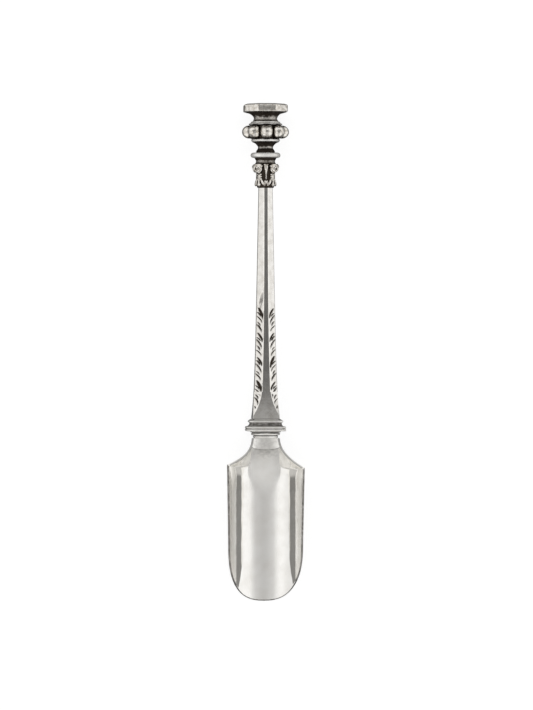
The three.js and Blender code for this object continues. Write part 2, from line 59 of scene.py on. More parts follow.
# %% [markdown]
# Every piece begins and ends in the same way. Operators act on whatever is selected, so a piece
# begins with an empty selection. At its end its place goes into its mesh, the piece takes its
# finish and its body, and the CAD node that it stands in for is hidden.

# %% Begin and finish a piece
def begin():
    """Leaves edit mode and clears the selection."""
    if bpy.context.mode != "OBJECT":
        bpy.ops.object.mode_set(mode="OBJECT")
    bpy.ops.object.select_all(action="DESELECT")


def pick(pieces):
    """Selects these pieces alone; the first of them is the active one."""
    begin()
    for piece in pieces:
        piece.select_set(True)
    bpy.context.view_layer.objects.active = pieces[0]


def modify(piece, name, kind, **settings):
    """Gives the active piece a modifier with its settings, and applies it."""
    modifier = piece.modifiers.new(name, kind)
    for setting, value in settings.items():
        setattr(modifier, setting, value)
    bpy.ops.object.modifier_apply(modifier=name)


def span(node):
    """Where a node starts along the axis, and its length, in millimetres."""
    low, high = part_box(node)
    return low[1] / MM, (high[1] - low[1]) / MM


def spot(x, y, z):
    """A place in metres, from millimetres across, along and above the axis."""
    return Vector((x, y, z + AXIS)) * MM


def finish_piece(name, node, finish, sharp=35):
    """Puts the active piece's place into its mesh, gives it its finish and body and hides its CAD
    node; edges above the sharp angle stay hard."""
    bpy.ops.object.mode_set(mode="OBJECT")
    piece = bpy.context.object
    bpy.ops.object.transform_apply(location=True, rotation=True, scale=True)
    bpy.ops.object.shade_smooth_by_angle(angle=math.radians(sharp))
    piece.name = name
    piece.data.materials.clear()
    piece.data.materials.append(finish)
    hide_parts(node)
    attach(piece, "root")
    print(name, len(piece.data.polygons), "faces")
    return piece


def mix(low, high, share):
    """The value at a share of the way from low to high."""
    return low + (high - low) * share


def ease(share):
    """A share from 0 to 1 that starts and ends gently."""
    held = min(1, max(0, share))
    return held * held * (3 - 2 * held)


print("foot and length of the stem in mm:", [round(size, 2) for size in span("stem")])


# %% [markdown]
# ## Silver finishes
#
# Old silver is bright where hands and cloths reach it and almost black where they do not. The
# dark is a patina that stays in grooves. An Ambient Occlusion node finds those grooves on any
# shape: it is low where nearby surfaces close a point in. A piece carries more dark in an attribute
# of its points: patina where the dark follows the carving, and on some pieces painted shade, dark
# laid on where the silver would mirror dark surroundings. A noise breaks up the border, and the
# result mixes clean metal with patina and painted shade. Clouds of thin tarnish lie on the clean
# metal, scratches change its gloss and shallow dents go into the bump.

# %% Silver with a patina in its grooves, and painted shade where a piece stores it
def link_math(tree, operation, first, second):
    """A Math node; each input is a number or the output of another node."""
    node = tree.nodes.new("ShaderNodeMath")
    node.operation = operation
    for socket, value in zip(node.inputs, (first, second)):
        if isinstance(value, (int, float)):
            socket.default_value = value
        else:
            tree.links.new(value, socket)
    return node.outputs[0]


def link_noise(tree, stretch, detail):
    """Noise on Object coordinates; stretch gives the waves per metre along X, Y and Z."""
    place = tree.nodes.new("ShaderNodeTexCoord")
    mapping = tree.nodes.new("ShaderNodeMapping")
    mapping.inputs["Scale"].default_value = stretch
    noise = tree.nodes.new("ShaderNodeTexNoise")
    noise.inputs["Scale"].default_value = 1
    noise.inputs["Detail"].default_value = detail
    tree.links.new(place.outputs["Object"], mapping.inputs["Vector"])
    tree.links.new(mapping.outputs["Vector"], noise.inputs["Vector"])
    return noise.outputs["Fac"]


def link_range(tree, value, low, high, start, end):
    """A Map Range node: low becomes start and high becomes end, and no value passes them."""
    node = tree.nodes.new("ShaderNodeMapRange")
    for name, setting in zip(("From Min", "From Max", "To Min", "To Max"), (low, high, start, end)):
        node.inputs[name].default_value = setting
    tree.links.new(value, node.inputs["Value"])
    return node.outputs[0]


RUBBED_HALF, UNRUBBED_HALF = 2.5, 9.5
# The colour of patina, and also of the painted shade that some pieces store on their points.
PATINA_AND_PAINTED_SHADE = (0.046, 0.036, 0.028)
TARNISH = (0.45, 0.4, 0.33)


def link_colours(tree, share, first, second):
    """Mixes two colours; the first may be the output of another node."""
    node = tree.nodes.new("ShaderNodeMix")
    node.data_type = "RGBA"
    tree.links.new(share, node.inputs["Factor"])
    if isinstance(first, tuple):
        node.inputs["A"].default_value = (*first, 1)
    else:
        tree.links.new(first, node.inputs["A"])
    node.inputs["B"].default_value = (*second, 1)
    return node.outputs["Result"]


def link_patina_and_painted_shade(tree, groove, mottle):
    """How dark a point is: closed in by what is near it, or stained or given painted shade on its points,
    with an uneven border.
    """
    reach, full, none = groove
    shade = tree.nodes.new("ShaderNodeAmbientOcclusion")
    shade.samples = 8
    shade.inputs["Distance"].default_value = reach * MM
    uneven = link_range(tree, link_noise(tree, (700, 700, 700), 4), 0.3, 0.7, -mottle, mottle)
    grooves = link_range(tree, link_math(tree, "ADD", shade.outputs["AO"], uneven), full, none, 1, 0)
    stain_and_painted_shade = tree.nodes.new("ShaderNodeAttribute")
    stain_and_painted_shade.attribute_name = "stain_and_painted_shade"
    stained_and_painted_shade = link_range(tree, link_math(tree, "ADD", stain_and_painted_shade.outputs["Fac"], uneven), 0.3, 0.7, 0, 1)
    return link_math(tree, "MAXIMUM", grooves, stained_and_painted_shade)


def link_roughness(tree, gloss, dull, patina_and_painted_shade, tarnish):
    """Fine scratches along the piece; duller where it is dark, tarnished or rubbed in the middle."""
    scratch = link_noise(tree, (5200, 160, 5200), 3)
    worn = link_range(tree, scratch, 0.3, 0.7, *gloss)
    place = tree.nodes.new("ShaderNodeTexCoord")
    parts = tree.nodes.new("ShaderNodeSeparateXYZ")
    tree.links.new(place.outputs["Object"], parts.inputs[0])
    aside = link_math(tree, "ABSOLUTE", parts.outputs["X"], 0)
    rubbed = link_range(tree, aside, RUBBED_HALF * MM, UNRUBBED_HALF * MM, dull, 0)
    dark = link_math(tree, "MULTIPLY", patina_and_painted_shade, 0.3)
    clouded = link_math(tree, "MULTIPLY", tarnish, 0.15)
    return link_math(tree, "ADD", link_math(tree, "ADD", worn, dark), link_math(tree, "ADD", clouded, rubbed))


def link_dents(tree, size, height):
    """A bumpy surface; size and height of the dents in mm."""
    bump = tree.nodes.new("ShaderNodeBump")
    bump.inputs["Strength"].default_value = 1
    bump.inputs["Distance"].default_value = height * MM
    tree.links.new(link_noise(tree, (1000 / size,) * 3, 2), bump.inputs["Height"])
    return bump.outputs["Normal"]


def silver(name, clean, gloss, groove, dent, mottle, cloud, dull=0.0):
    """clean: colour; gloss: least and most roughness; groove: reach in mm and the two shades
    between which the patina fades; dent: size and height of the dents in mm; mottle: how uneven
    the patina is; cloud: most of the tarnish and its patches per metre; dull: roughness added
    along the middle."""
    finish = bpy.data.materials.new(name)
    finish.use_nodes = True
    tree = finish.node_tree
    metal = tree.nodes["Principled BSDF"]
    metal.inputs["Metallic"].default_value = 1
    patina_and_painted_shade = link_patina_and_painted_shade(tree, groove, mottle)
    most, patches = cloud
    tarnish = link_range(tree, link_noise(tree, (patches,) * 3, 4), 0.4, 0.7, 0, most)
    tarnished = link_colours(tree, tarnish, clean, TARNISH)
    tree.links.new(link_colours(tree, patina_and_painted_shade, tarnished, PATINA_AND_PAINTED_SHADE), metal.inputs["Base Color"])
    tree.links.new(link_roughness(tree, gloss, dull, patina_and_painted_shade, tarnish), metal.inputs["Roughness"])
    tree.links.new(link_dents(tree, *dent), metal.inputs["Normal"])
    return finish


def store_stain_and_painted_shade(piece, darkness):
    """Stores how dark each point is, as patina on some pieces and painted shade on others; darkness takes its
    place in mm across, along and above the axis.
    """
    stain_and_painted_shade = piece.data.attributes.new("stain_and_painted_shade", "FLOAT", "POINT")
    for vertex, value in zip(piece.data.vertices, stain_and_painted_shade.data):
        x, y, z = vertex.co / MM
        value.value = min(1, max(0, darkness(x, y, z - AXIS)))


SILVER = (0.96, 0.95, 0.925)
WARM_SILVER = (0.96, 0.938, 0.9)
GREY_SILVER = (0.92, 0.89, 0.84)
blade_finish = silver(
    "blade_silver", SILVER, gloss=(0.03, 0.06), groove=(0.5, 0.12, 0.4), dent=(11, 0.1),
    mottle=0.05, cloud=(0.15, 150), dull=0.42,
)
stem_finish = silver(
    "stem_silver", WARM_SILVER, gloss=(0.07, 0.15), groove=(0.8, 0.4, 0.75), dent=(4, 0.02),
    mottle=0.1, cloud=(0.32, 420),
)
collar_finish = silver(
    "collar_silver", SILVER, gloss=(0.42, 0.56), groove=(1.0, 0.45, 0.8), dent=(2, 0.03),
    mottle=0.08, cloud=(0.25, 400),
)
cast_finish = silver(
    "cast_silver", GREY_SILVER, gloss=(0.07, 0.16), groove=(1.1, 0.42, 0.82), dent=(1.0, 0.2),
    mottle=0.15, cloud=(0.9, 1000),
)
turned_finish = silver(
    "turned_silver", GREY_SILVER, gloss=(0.14, 0.26), groove=(2.6, 0.5, 0.85), dent=(1.2, 0.09),
    mottle=0.2, cloud=(0.75, 900),
)
print("finishes:", [finish.name for finish in bpy.data.materials if finish.name.endswith("_silver")])


# %% [markdown]
# ## The blade
#
# The blade is a sheet of silver pressed to nearly half a cylinder. Its tip is rounded, its shoulders
# sweep in to a narrow neck, and its back climbs to the neck over a heel. A flat grid is added
# and each of its points is moved to its place on the pressed form, as a press moves the sheet.
# Solidify gives it its thickness and Bevel takes the sharpness off its edges.

# %% The pressed form of the blade
BLADE_FOOT, BLADE_LENGTH = span("scoop_blade")
BLADE_TIP, BLADE_SIDE, BLADE_NECK = 40, 40, 44
NECK_LENGTH = 11.8
SHOULDER = BLADE_LENGTH - NECK_LENGTH
SHOULDER_HALF = 16.4
NECK_HALF = 5.9
ROUND_LENGTH = 23.6
ROUND_HALF = 15.8
ROUND_POWER = 2.5
ROUND_START = 0.02
TROUGH_DEPTH = 12.5
TROUGH_RADIUS = (SHOULDER_HALF**2 + TROUGH_DEPTH**2) / (2 * TROUGH_DEPTH)
NECK_BACK = 4.0
NECK_EDGE = 2.0
HEEL_LENGTH = 14
HEEL_TOP = 3
LEAN = 1.3
LEAN_END = 4.5
SHEET = 0.9


def neck_sweep(share):
    """Half-width and place of the neck's curve, from the shoulder at 0 to the collar at 1."""
    rest = 1 - share
    weights = (rest**3, 3 * rest**2 * share, 3 * rest * share**2, share**3)
    halves = [mix(NECK_HALF, SHOULDER_HALF, pull) for pull in (1, 0.34, 0.04, 0)]
    places = [mix(SHOULDER, BLADE_LENGTH, pull) for pull in (0, 0.32, 0.55, 1)]
    half = sum(weight * value for weight, value in zip(weights, halves))
    return half, sum(weight * value for weight, value in zip(weights, places))


def blade_row(row):
    """Half-width and place of a row of the grid, counted from the tip."""
    if row <= BLADE_TIP:
        angle = mix(ROUND_START, math.pi / 2, row / BLADE_TIP)
        half = ROUND_HALF * math.sin(angle) ** (2 / ROUND_POWER)
        return half, ROUND_LENGTH * (1 - math.cos(angle) ** (2 / ROUND_POWER))
    if row <= BLADE_TIP + BLADE_SIDE:
        share = (row - BLADE_TIP) / BLADE_SIDE
        return mix(ROUND_HALF, SHOULDER_HALF, share), mix(ROUND_LENGTH, SHOULDER, share)
    return neck_sweep((row - BLADE_TIP - BLADE_SIDE) / BLADE_NECK)


def trough_section(half, along):
    """Height of the back, radius and half-angle of the arc across the blade at one place."""
    back = mix(-AXIS, -NECK_BACK, ease((along - BLADE_LENGTH + HEEL_TOP + HEEL_LENGTH) / HEEL_LENGTH))
    edge = TROUGH_RADIUS - math.sqrt(TROUGH_RADIUS**2 - min(half, SHOULDER_HALF) ** 2) - AXIS
    if along > SHOULDER:
        edge = mix(TROUGH_DEPTH - AXIS, NECK_EDGE, ease((along - SHOULDER) / (BLADE_LENGTH - SHOULDER)))
    rise = edge - back
    radius = (half**2 + rise**2) / (2 * rise)
    return back, radius, math.atan2(half, radius - rise)


def trough_point(half, along, across, depth):
    """A place on the blade: across runs from -1 to 1, depth goes in from the outside."""
    back, radius, half_angle = trough_section(half, along)
    angle = across * half_angle
    x = (radius - depth) * math.sin(angle)
    if along <= SHOULDER:
        lean = (along / SHOULDER) ** 2
    else:
        lean = 1 - ease((along - SHOULDER) / (BLADE_LENGTH - LEAN_END - SHOULDER))
    y = along - x / (2 * SHOULDER_HALF) * LEAN * lean
    return spot(x, BLADE_FOOT + y, back + radius - (radius - depth) * math.cos(angle))


print("inner radius of the trough in mm:", round(TROUGH_RADIUS - SHEET, 2))


# %% [markdown]
# The rows of the grid become the outline from the tip to the neck, and its columns the arc across
# the trough. Where the edge of the sheet faces outward, and round the tip, it is painted dull and
# dark: painted shade that draws the outline of the blade, for the shaded table that the edge would mirror.

# %% Press the sheet
ACROSS = 72
# Painted shade on the outward edge of the sheet, which draws the blade's outline dark.
RIM_PAINTED_SHADE = 0.62
RIM_BEVEL = 0.36
EDGE_OUTWARD, EDGE_UPWARD = 0.2, -0.3
TIP_EDGE = 0.95
rows = BLADE_TIP + BLADE_SIDE + BLADE_NECK


def paint_rim_shade(piece):
    """Darkens the edge of the sheet where it faces outward, and round the tip: painted shade, a dark outline
    for the shaded table that the edge would mirror.
    """
    stain_and_painted_shade = piece.data.attributes.new("stain_and_painted_shade", "FLOAT", "POINT")
    for vertex, value in zip(piece.data.vertices, stain_and_painted_shade.data):
        x = vertex.co.x / MM
        behind_round = min(0, vertex.co.y / MM - BLADE_FOOT - ROUND_LENGTH)
        outward = Vector((x, behind_round, 0)).normalized()
        on_edge = vertex.normal.dot(outward) > EDGE_OUTWARD and vertex.normal.z > EDGE_UPWARD
        outline = (abs(x) / ROUND_HALF) ** ROUND_POWER + (-behind_round / ROUND_LENGTH) ** ROUND_POWER
        at_tip = outline > TIP_EDGE and -behind_round > ROUND_LENGTH / 2
        value.value = RIM_PAINTED_SHADE if on_edge or at_tip else 0


begin()
bpy.ops.mesh.primitive_grid_add(x_subdivisions=ACROSS, y_subdivisions=rows, size=2)
sheet = bpy.context.object
for vertex in sheet.data.vertices:
    half, along = blade_row(round((vertex.co.y + 1) / 2 * rows))
    vertex.co = trough_point(half, along, vertex.co.x, 0)
modify(sheet, "wall", "SOLIDIFY", thickness=SHEET * MM, offset=1, use_even_offset=True)
modify(
    sheet, "edges", "BEVEL",
    width=RIM_BEVEL * MM, segments=5, limit_method="ANGLE", angle_limit=math.radians(50),
)
blade = finish_piece("blade", "scoop_blade", blade_finish, 60)
paint_rim_shade(blade)


# %% [markdown]
# ## The neck block
#
# A block fills the neck's channel under the collar, and runs out into the trough in a smooth
# slope. A fine seam shows where its face ends. It is a second grid, laid over the trough. Below
# the seam and the edge of the neck each point sinks towards the trough: over a long way in the
# middle, and over a shorter way the further aside it is.

# %% Fill the neck
FACE_LENGTH = 3.5
FACE_SAG = 1.3
SLOPE_LENGTH = 22
SLOPE_LEAST = 0.5
SLOPE_HALF = 12.5
SLOPE_POWER = 2.5
SEAM_SAG = 1.3
SEAM_AT = 0.75
BLOCK_REACH = 0.97
BLOCK_BODY = 0.5
BLOCK_LIFT = 0.02
INSIDE = SHEET + BLOCK_LIFT
# The seam is a dark line. The face above it and the slope below it take painted shade.
SEAM_STAIN, FACE_PAINTED_SHADE = 0.55, 0.33
SLOPE_PAINTED_SHADE, PAINTED_SHADE_LENGTH = (0.46, 0.2), 6
BLOCK_ACROSS, BLOCK_ALONG = 48, 96


def neck_where(reached):
    """Half-width and place where the neck's curve first passes a test of the two."""
    low, high = 0.0, 1.0
    for _ in range(40):
        middle = (low + high) / 2
        if reached(*neck_sweep(middle)):
            high = middle
        else:
            low = middle
    return neck_sweep(high)


def half_width_at(along):
    """Half-width of the blade at a place behind its round end."""
    if along <= SHOULDER:
        return mix(ROUND_HALF, SHOULDER_HALF, (along - ROUND_LENGTH) / (SHOULDER - ROUND_LENGTH))
    return neck_where(lambda half, place: place >= along)[0]


def block_point(across, along):
    """Across from -1 to 1; along from 0 at the end of the slope to 1 at the collar."""
    seam = BLADE_LENGTH - FACE_LENGTH - SEAM_SAG * (1 - across**2)
    if along >= SEAM_AT:
        place = mix(seam, BLADE_LENGTH, (along - SEAM_AT) / (1 - SEAM_AT))
    else:
        place = mix(seam - SLOPE_LENGTH, seam, along / SEAM_AT)
    half = half_width_at(place)
    seat = trough_point(half, place, across * BLOCK_REACH, INSIDE)
    wall = trough_point(half, place, BLOCK_REACH, INSIDE)
    aside = abs(seat.x) / MM
    top = wall.z - FACE_SAG * MM * (1 - min(1, abs(seat.x / wall.x)) ** 2)
    neck_end = neck_where(lambda half, place: half <= aside)[1]
    slope = max(SLOPE_LEAST, SLOPE_LENGTH * (1 - (aside / SLOPE_HALF) ** 2))
    below = min(neck_end, seam) - place
    fill = min(1, max(0, 1 - below / slope)) ** SLOPE_POWER
    floor = (TROUGH_RADIUS - math.sqrt((TROUGH_RADIUS - INSIDE) ** 2 - aside**2)) * MM
    return Vector((seat.x, seat.y, max(seat.z, mix(floor, top, fill))))


def seam_stain_and_painted_shade(across, along):
    """A dark line at the seam; painted shade on the face above it, and on the slope below it, fading with the
    distance from the seam and towards the sides.
    """
    below = (SEAM_AT - along) / SEAM_AT * SLOPE_LENGTH
    if abs(below) < 0.5 * SLOPE_LENGTH / BLOCK_ALONG:
        return SEAM_STAIN
    if below < 0:
        return FACE_PAINTED_SHADE
    return mix(*SLOPE_PAINTED_SHADE, min(1, below / PAINTED_SHADE_LENGTH)) * (1 - 0.5 * across**2)


begin()
bpy.ops.mesh.primitive_grid_add(x_subdivisions=BLOCK_ACROSS, y_subdivisions=BLOCK_ALONG, size=2)
block = bpy.context.object
stain_and_painted_shade = block.data.attributes.new("stain_and_painted_shade", "FLOAT", "POINT")
for vertex, value in zip(block.data.vertices, stain_and_painted_shade.data):
    along = (vertex.co.y + 1) / 2
    value.value = seam_stain_and_painted_shade(vertex.co.x, along)
    vertex.co = block_point(vertex.co.x, along)
modify(block, "body", "SOLIDIFY", thickness=BLOCK_BODY * MM, offset=-1)
finish_piece("neck_fill", "neck_block", blade_finish, 60)


# %% [markdown]
# ## Turned members
#
# Rings, spools and the disc come off a lathe. Spin is Blender's lathe: an outline is drawn point
# by point with Extrude and spun once round the axis. A plane whose corners are merged gives the
# first point. Each outline ends where it began, so the bore for the rod has a wall too. The ring
# under the collar shows its end above the neck block. The tang fills its bore, so the bore is no
# more than a pinhole there.

# %% A lathe
BORE = 1.45
FILLED_BORE = 0.05
print("bore of the turned members in mm:", 2 * BORE)


def spin_outline(outline, foot, bore=BORE, steps=96):
    """outline: (radius, height) pairs in mm, from the foot of the bore round to its top."""
    points = [(bore, outline[0][1]), *outline, (bore, outline[-1][1]), (bore, outline[0][1])]
    begin()
    start = spot(points[0][0], foot + points[0][1], 0)
    bpy.ops.mesh.primitive_plane_add(size=MM, location=start)
    bpy.ops.object.mode_set(mode="EDIT")
    bpy.ops.mesh.merge(type="CENTER")
    for (radius, height), (next_radius, next_height) in zip(points, points[1:]):
        step = ((next_radius - radius) * MM, (next_height - height) * MM, 0)
        bpy.ops.mesh.extrude_region_move(TRANSFORM_OT_translate={"value": step})
    bpy.ops.mesh.select_all(action="SELECT")
    bpy.ops.mesh.spin(steps=steps, angle=2 * math.pi, center=spot(0, 0, 0), axis=(0, 1, 0))
    bpy.ops.mesh.select_all(action="SELECT")
    bpy.ops.mesh.remove_doubles(threshold=0.002 * MM)
    bpy.ops.mesh.normals_make_consistent(inside=False)


def half_round(radius, low, high, steps=10):
    """Outline of a rounded edge between two heights."""
    bulge = (high - low) / 2
    angles = [math.pi * (step / steps - 0.5) for step in range(steps + 1)]
    return [(radius - bulge + bulge * math.cos(a), low + bulge + bulge * math.sin(a)) for a in angles]


def sweep_through(points, steps=6):
    """A smooth outline through a few points."""
    line = [points[0], *points, points[-1]]
    outline = []
    for before, start, end, after in zip(line, line[1:], line[2:], line[3:]):
        for step in range(steps):
            t = step / steps
            outline.append(tuple(
                b + 0.5 * ((c - a) * t + (2 * a - 5 * b + 4 * c - d) * t**2 + (3 * b - a - 3 * c + d) * t**3)
                for a, b, c, d in zip(before, start, end, after)
            ))
    return [*outline, points[-1]]


# %% [markdown]
# Each of these members is one outline and one turn of the lathe. The spools take painted shade on
# top of their patina, for the dark rings and opening that they mirror: dark all over, a little lighter at the
# waist.

# %% Rings and spools
foot, height = span("capital_spool")
spin_outline(sweep_through([(4.5, 0), (4.0, height * 0.45), (4.65, height)]), foot)
spool = finish_piece("spool_on_capital", "capital_spool", turned_finish)
# Painted shade: dark at the rims, less at the waist.
store_stain_and_painted_shade(spool, lambda x, y, z: 0.8 if math.hypot(x, z) > 4.12 else 0.5)

foot, height = span("disc")
spin_outline(half_round(6.3, 0, height, 16), foot)
finish_piece("disc_moulding", "disc", collar_finish)

foot, height = span("knop_spool")
waist = [(3.8, 0), (4.0, height * 0.1), (3.75, height * 0.2), (3.15, height * 0.5)]
flare = [(4.2, height * 0.84), (5.6, height)]
spin_outline(sweep_through([*waist, *flare]), foot)
spool = finish_piece("spool_under_knop", "knop_spool", turned_finish)
# Painted shade: dark but for the narrow waist.
store_stain_and_painted_shade(spool, lambda x, y, z: mix(0.56, 0.85, (math.hypot(x, z) - 3.2) / 0.3))

foot, height = span("knop_lower_ring")
spin_outline(half_round(6.05, 0, height), foot)
finish_piece("ring_under_knop", "knop_lower_ring", collar_finish)

foot, height = span("knop_upper_ring")
lip = [(6.7, 0), (7.1, height * 0.3), (6.3, height * 0.62)]
fillet = [(6.2, height * 0.66), (6.15, height * 0.9), (5.8, height)]
spin_outline([*sweep_through(lip), *fillet], foot)
finish_piece("ring_over_knop", "knop_upper_ring", collar_finish)

foot, height = span("collar_ring")
reeds = [*half_round(5.3, 0, height / 2), *half_round(6.1, height / 2, height)[1:]]
spin_outline(reeds, foot, FILLED_BORE)
finish_piece("collar_reeds", "collar_ring", collar_finish)


# %% [markdown]
# ## The collar
#
# The collar is a moulding round a square plan whose corners are cut. A plane gets its four
# corners bevelled and is then extruded upwards and scaled step by step along the moulding's
# outline: foot, two reeds, a hollow, a fillet and a slope in to the stem.

# %% Extrude the collar
COLLAR_CUT = 1.5
foot, height = span("collar_moulding")
reed = 1.0
reed_foot = 0.5
reed_top = reed_foot + 2 * reed
profile = [(6.1, 0), (6.1, reed_foot)]
profile += half_round(8.3, reed_foot, reed_foot + reed, 8)
profile += half_round(8.3, reed_foot + reed, reed_top, 8)[1:]
profile += [(7.2, reed_top + 0.1), (6.75, reed_top + 0.5), (6.5, reed_top + 1.0), (6.6, height - 1.5)]
profile += [(7.0, height - 1.4), (7.1, height - 1.3), (7.1, height - 0.85)]
profile += [(6.95, height - 0.7), (6.0, height)]
begin()
bpy.ops.mesh.primitive_plane_add(
    size=2 * profile[0][0] * MM, location=spot(0, foot, 0), rotation=(math.pi / 2, 0, 0)
)
bpy.ops.object.mode_set(mode="EDIT")
bpy.ops.mesh.bevel(offset=COLLAR_CUT * MM, affect="VERTICES", segments=1)
for (half, place), (next_half, next_place) in zip(profile, profile[1:]):
    bpy.ops.mesh.extrude_region_move(TRANSFORM_OT_translate={"value": (0, (next_place - place) * MM, 0)})
    scale = next_half / half
    bpy.ops.transform.resize(value=(scale, 1, scale), center_override=spot(0, foot + next_place, 0))
bpy.ops.mesh.select_all(action="SELECT")
bpy.ops.mesh.normals_make_consistent(inside=False)
collar = finish_piece("collar", "collar_moulding", collar_finish, 25)
hollow = (foot + reed_top + 0.1, foot + height - 1.45)
store_stain_and_painted_shade(collar, lambda x, y, z: 0.58 if hollow[0] < y < hollow[1] or y < foot + 0.4 else 0)


# %% [markdown]
# ## The stem
#
# The stem is a tapering square bar whose corners are cut to chamfers that stop short of the
# collar. A ring of eight corners is extruded along it, and each new ring is set out from the
# width of the bar and of its flat. On the lower half of the chamfers leaves are gouged: the
# chamfer faces are subdivided finely and the points are pressed in where a gouge passes.

# %% Set out the bar
STEM_FOOT, STEM_LENGTH = span("stem")
STOP = 0.883
SQUARE = 0.987
CARVED_FROM, CARVED_TO = 0.43, 0.955
CHAMFER_WIDTH = 3.9
STEM_TOP, STEM_TAPER, STEM_FLARE = 5.9, 3.8, 1.7
FLAT_TOP, FLAT_LOW = 1.9, 3.7
BROKEN_CORNER = 0.12
RUBBED = 0.25


def stem_half(share):
    """Half of the bar's width, from 0 at the capital to 1 at the collar."""
    return (STEM_TOP + STEM_TAPER * share + STEM_FLARE * share**8) / 2


def flat_half(share):
    """Half of a flat's width; below the stop the flats widen until the bar is square."""
    if share <= STOP:
        return mix(FLAT_TOP, FLAT_LOW, (share / STOP) ** 3) / 2
    run_out = min(1, (share - STOP) / (SQUARE - STOP))
    return mix(FLAT_LOW / 2, stem_half(share) - BROKEN_CORNER, run_out**1.5)


def bar_corners(share):
    """The eight corners of the bar: two ends of each of its four flats."""
    half = stem_half(share)
    flat = flat_half(share)
    quarter = [(flat, half), (half, flat)]
    along = STEM_FOOT + STEM_LENGTH * (1 - share)
    corners = []
    for _ in range(4):
        corners += [spot(x, along, z) for x, z in quarter]
        quarter = [(z, -x) for x, z in quarter]
    return corners


def turn_of(place):
    """The angle of a place round the axis, from the top."""
    return math.atan2(place.x, place.z - AXIS * MM)


def set_ring(piece, share):
    """Moves the selected ring of corners to its places on the bar."""
    mesh = bmesh.from_edit_mesh(piece.data)
    ring = sorted((v for v in mesh.verts if v.select), key=lambda v: turn_of(v.co))
    for vertex, corner in zip(ring, sorted(bar_corners(share), key=turn_of)):
        vertex.co = corner
    bmesh.update_edit_mesh(piece.data)


shares = [1, 0.994, SQUARE]
shares += [mix(SQUARE, STOP, step / 8) for step in range(1, 9)]
shares += [mix(STOP, CARVED_FROM, step / 9) for step in range(1, 10)]
shares += [mix(CARVED_FROM, 0, step / 6) for step in range(1, 7)]
print("rings along the bar:", len(shares))
begin()
bpy.ops.mesh.primitive_circle_add(vertices=8, radius=5 * MM, fill_type="NGON", location=(0, 0, 0))
bar = bpy.context.object
bpy.ops.object.mode_set(mode="EDIT")
bpy.ops.transform.rotate(value=math.pi / 2, orient_axis="X", center_override=(0, 0, 0))
bpy.ops.transform.translate(value=spot(0, 0, 0))
set_ring(bar, shares[0])
for share in shares[1:]:
    bpy.ops.mesh.extrude_region_move(TRANSFORM_OT_translate={"value": (0, MM, 0)})
    set_ring(bar, share)
bpy.ops.mesh.select_all(action="SELECT")
bpy.ops.mesh.normals_make_consistent(inside=False)


# %% [markdown]
# Polishing has rubbed the long edges of the bar down. Each rubbed edge mirrors the table close
# by, which draws a fine dark line along both sides of the stem.

# %% Rub the long edges
bpy.ops.mesh.select_mode(type="EDGE")
bpy.ops.mesh.select_all(action="DESELECT")
chamfer_foot = STEM_FOOT + STEM_LENGTH * (1 - STOP)
mesh = bmesh.from_edit_mesh(bar.data)
for edge in mesh.edges:
    first, second = (vertex.co.y / MM for vertex in edge.verts)
    edge.select_set(abs(first - second) > 0.2 and min(first, second) > chamfer_foot - 0.1)
bmesh.update_edit_mesh(bar.data)
bpy.ops.mesh.bevel(offset=RUBBED * MM, segments=1, affect="EDGES")
bpy.ops.mesh.select_mode(type="FACE")
print("faces of the bar:", len(bar.data.polygons))


# %% [markdown]
# ## Gouged leaves
#
# Each leaf is a group of five cuts. A cut starts near the outer edge of the chamfer and bends down
# along the flat, like the barbs of a feather: a long deep cut, a short one, a long shallow one,
# another short one and a last thin one. The groups follow each other down all four chamfers, and
# two opposite chamfers start with a long shallow hollow.

# %% Gouge the chamfers
# Each cut: drop below the top of its leaf in mm, length in mm, where it starts and ends between
# the flat at 0 and the outer edge at 1, half of its width in mm and its depth in mm.
LEAF = [
    (0.0, 4.3, 0.78, 0.12, 0.8, 0.7),
    (1.7, 1.9, 0.88, 0.4, 0.55, 0.5),
    (2.9, 3.9, 0.96, 0.18, 0.55, 0.46),
    (5.7, 2.0, 0.84, 0.42, 0.5, 0.4),
    (7.0, 3.0, 0.96, 0.24, 0.55, 0.46),
]
GROUP_TOP = STEM_FOOT + 46.5
GROUP_PITCH = 10.2
GROUPS = 5
HOLLOW = (STEM_FOOT + 54, 9, 0.0, 0.62, 1.3, 0.27)
HOLLOW_CORNERS = (1, 2)


def by_hand(group, number, corner):
    """The small difference, from -1 to 1, between cuts that are made by hand."""
    return math.sin(2.3 * group + 1.7 * number + 1.1 * corner)


def cuts_on(corner):
    """The cuts on one chamfer, each with its top in mm along the axis in place of its drop."""
    cuts = []
    for group in range(GROUPS):
        for number, (drop, length, start, end, width, depth) in enumerate(LEAF):
            if group == GROUPS - 1 and number > 1:
                continue
            slip = by_hand(group, number, corner)
            top = GROUP_TOP - GROUP_PITCH * group - drop + 0.35 * slip
            cuts.append((top, length * (1 + 0.2 * slip), start, end, width * (1 + 0.2 * slip), depth))
    if corner in HOLLOW_CORNERS:
        cuts.append(HOLLOW)
    return cuts


def gouge_depth(outward, along, cuts):
    """Depth of the carving; outward runs from 0 at the flat to 1 at the edge, along in mm."""
    deepest = 0.0
    for top, length, start, end, width, depth in cuts:
        share = (top - along) / length
        if not 0 < share < 1:
            continue
        line = end + (start - end) * (1 - share) ** 1.7
        fullness = math.sqrt(math.sin(math.pi * share**0.75))
        side = abs(outward - line) * CHAMFER_WIDTH / (width * fullness)
        if side < 1:
            deepest = max(deepest, depth * (1 - side**2) ** 0.6 * fullness)
    return deepest


